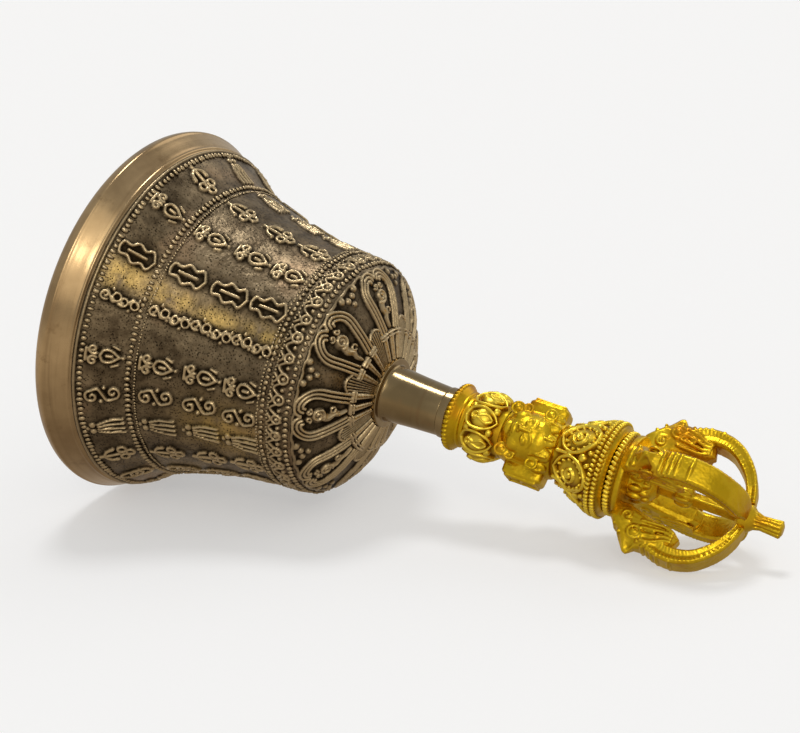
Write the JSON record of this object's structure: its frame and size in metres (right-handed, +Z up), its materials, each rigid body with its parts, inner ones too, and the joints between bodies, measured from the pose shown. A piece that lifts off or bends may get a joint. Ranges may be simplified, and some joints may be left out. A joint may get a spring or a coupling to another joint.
{
  "type": "tibetan bell",
  "caption": "Hand bell: flared bronze cup with relief bands, lotus crown, polished neck, gilt handle with a face and curved prongs, and a swinging clapper on a swivel.",
  "frame": {"origin": "centre of the bottom of the bounding box, on the surface the bell lies on", "axes": "+X along the bell from mouth to handle tip, +Z up; the bell lies on its lip and two prongs"},
  "size_m": [0.176, 0.094, 0.0919],
  "materials": {
    "aged_bronze": "aged, dark in the recesses",
    "polished_bronze": "polished",
    "gilt": "glossy gilt",
    "iron": "dark forged"
  },
  "bodies": {
    "bell": {"bell_cup": "aged_bronze", "neck_tube": "polished_bronze", "tie_rod": "iron", "crown_washer": "iron", "crown_nut": "iron", "handle_foot_ring": "gilt", "lotus_vase": "gilt", "face_head": "gilt", "upper_lotus": "gilt", "bead_belt": "gilt", "vajra_hub": "gilt", "prong_1": "gilt", "prong_2": "gilt", "prong_3": "gilt", "prong_4": "gilt", "central_prong": "gilt", "finial": "gilt"},
    "swivel": {"swivel_shackle": "iron", "clapper_pin": "iron"},
    "clapper": {"clapper": "iron"}
  },
  "joints": [
    {"name": "swivel_turn", "type": "hinge", "parent": "bell", "child": "swivel", "pos_m": [-0.02744, 0, 0.03528], "axis": [0.9756, 0, -0.2194], "continuous": true},
    {"name": "clapper_swing", "type": "hinge", "parent": "swivel", "child": "clapper", "pos_m": [-0.02744, 0, 0.03528], "axis": [0, 1, 0], "range_deg": [0, 81.4]}
  ]
}
